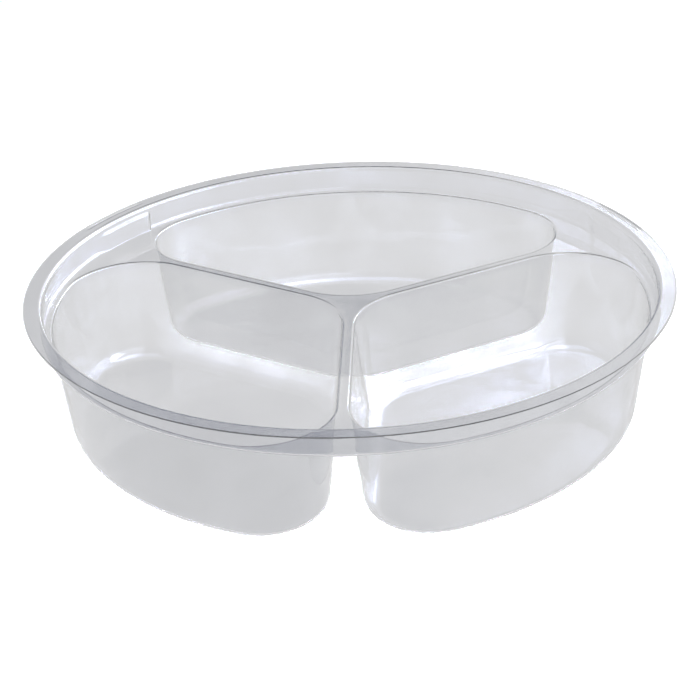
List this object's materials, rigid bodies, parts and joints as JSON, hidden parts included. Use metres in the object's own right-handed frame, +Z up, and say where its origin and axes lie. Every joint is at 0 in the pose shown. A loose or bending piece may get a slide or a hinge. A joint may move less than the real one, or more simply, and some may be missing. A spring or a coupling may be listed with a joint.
{
  "type": "compartment tray insert",
  "caption": "Round clear thermoformed tray insert: flat rim flange, stepped seat wall, and deep rounded compartments divided by a Y of narrow lands.",
  "frame": {"origin": "on the tray's axis, in the plane that the compartment floors stand on", "axes": "+Z up along the tray's axis; -Y along the land between the two front compartments"},
  "size_m": [0.184, 0.184, 0.038],
  "materials": {
    "clear_sheet": "clear, glossy, slightly hazy formed sheet"
  },
  "bodies": {
    "root": {"rim_flange": "clear_sheet", "seat_wall": "clear_sheet", "deck": "clear_sheet", "right_compartment_wall": "clear_sheet", "rear_compartment_wall": "clear_sheet", "left_compartment_wall": "clear_sheet", "right_compartment_floor": "clear_sheet", "rear_compartment_floor": "clear_sheet", "left_compartment_floor": "clear_sheet", "right_stacking_lug": "clear_sheet", "left_stacking_lug": "clear_sheet"}
  },
  "joints": []
}
